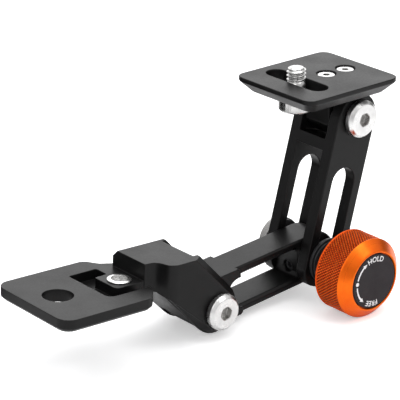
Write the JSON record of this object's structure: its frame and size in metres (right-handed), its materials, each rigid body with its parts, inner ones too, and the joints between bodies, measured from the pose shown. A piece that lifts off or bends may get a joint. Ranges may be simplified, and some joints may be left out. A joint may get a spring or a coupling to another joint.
{
  "type": "folding two-arm swivel bracket",
  "caption": "Folding swivel bracket with a foot plate, a clevis, two slotted arms clamped by an orange knob and a tilting plate with a camera screw.",
  "frame": {"origin": "on the foot plate's underside, on its centre line, 8.4 mm from the centre of its round mounting hole towards the arms", "axes": "+X along the folding arms away from the foot plate's free end, +Z the foot plate's normal (up), knob on the -Y side"},
  "size_m": [0.1325, 0.0524, 0.0793],
  "materials": {
    "black_anodised": "satin black anodised aluminium, fine bead-blasted grain",
    "steel": "bright turned steel",
    "orange_anodised": "orange anodised aluminium, diamond knurled",
    "black_steel": "black oxide steel",
    "brass": "turned brass",
    "nylon": "matte black nylon",
    "label": "matte black face disc"
  },
  "bodies": {
    "foot": {"base_bracket": "black_anodised", "base_thread_insert": "steel", "lower_pivot_bolt": "steel", "lower_pivot_nut": "steel", "lower_pivot_washer_near": "nylon", "lower_pivot_washer_far": "nylon"},
    "lower_arm": {"lower_link": "black_anodised", "lower_link_grub_screw": "black_steel", "clamp_sleeve": "brass"},
    "clamp_carrier": {"slot_bushing_near": "black_steel", "slot_bushing_far": "black_steel", "clamp_washer_near": "black_steel", "clamp_washer_far": "black_steel", "clamp_spring_washer": "black_steel"},
    "clamp_screw": {"clamp_bolt": "steel"},
    "knob": {"knob_body": "orange_anodised", "knob_hub": "black_anodised", "knob_thread_insert": "brass", "knob_label_disc": "label"},
    "upper_arm": {"upper_link": "black_anodised", "top_pivot_bolt": "steel", "top_pivot_nut": "steel", "top_pivot_washer_near": "nylon", "top_pivot_washer_far": "nylon"},
    "head": {"top_plate": "black_anodised", "top_knuckle": "black_anodised", "plate_screw_left": "steel", "plate_screw_right": "steel"},
    "screw_carriage": {"camera_screw_washer": "nylon"},
    "mount_screw": {"camera_screw": "steel"}
  },
  "joints": [
    {"name": "lower_pivot", "type": "hinge", "parent": "foot", "child": "lower_arm", "pos_m": [0.0461, -0.0014, -0.0097], "axis": [0, 1, 0], "range_deg": [-45, 70]},
    {"name": "clamp_pivot", "type": "hinge", "parent": "lower_arm", "child": "clamp_carrier", "pos_m": [0.0926, -0.0014, -0.0032], "axis": [0, 1, 0], "range_deg": [-30, 70]},
    {"name": "upper_arm_slide", "type": "slide", "parent": "clamp_carrier", "child": "upper_arm", "axis": [0.2128, 0, 0.9771], "range_m": [-0.02, 0]},
    {"name": "top_tilt", "type": "hinge", "parent": "upper_arm", "child": "head", "pos_m": [0.1029, -0.0014, 0.0441], "axis": [0, 1, 0], "range_deg": [-35, 60]},
    {"name": "screw_slide", "type": "slide", "parent": "head", "child": "screw_carriage", "axis": [0, 1, 0], "range_m": [-0.009, 0.009]},
    {"name": "screw_spin", "type": "hinge", "parent": "screw_carriage", "child": "mount_screw", "pos_m": [0.08566, 0.0001, 0.05667], "axis": [-0.0523, 0, 0.9986], "continuous": true},
    {"name": "knob_turn", "type": "hinge", "parent": "lower_arm", "child": "knob", "pos_m": [0.0926, -0.0014, -0.0032], "axis": [0, -1, 0], "range_deg": [0, 540]},
    {"name": "clamp_release", "type": "slide", "parent": "lower_arm", "child": "clamp_screw", "axis": [0, 1, 0], "range_m": [0, 0.0015]}
  ],
  "couplings": [
    {"joint": "clamp_release", "follows": "knob_turn", "m_per_rad": 0.00015915}
  ]
}
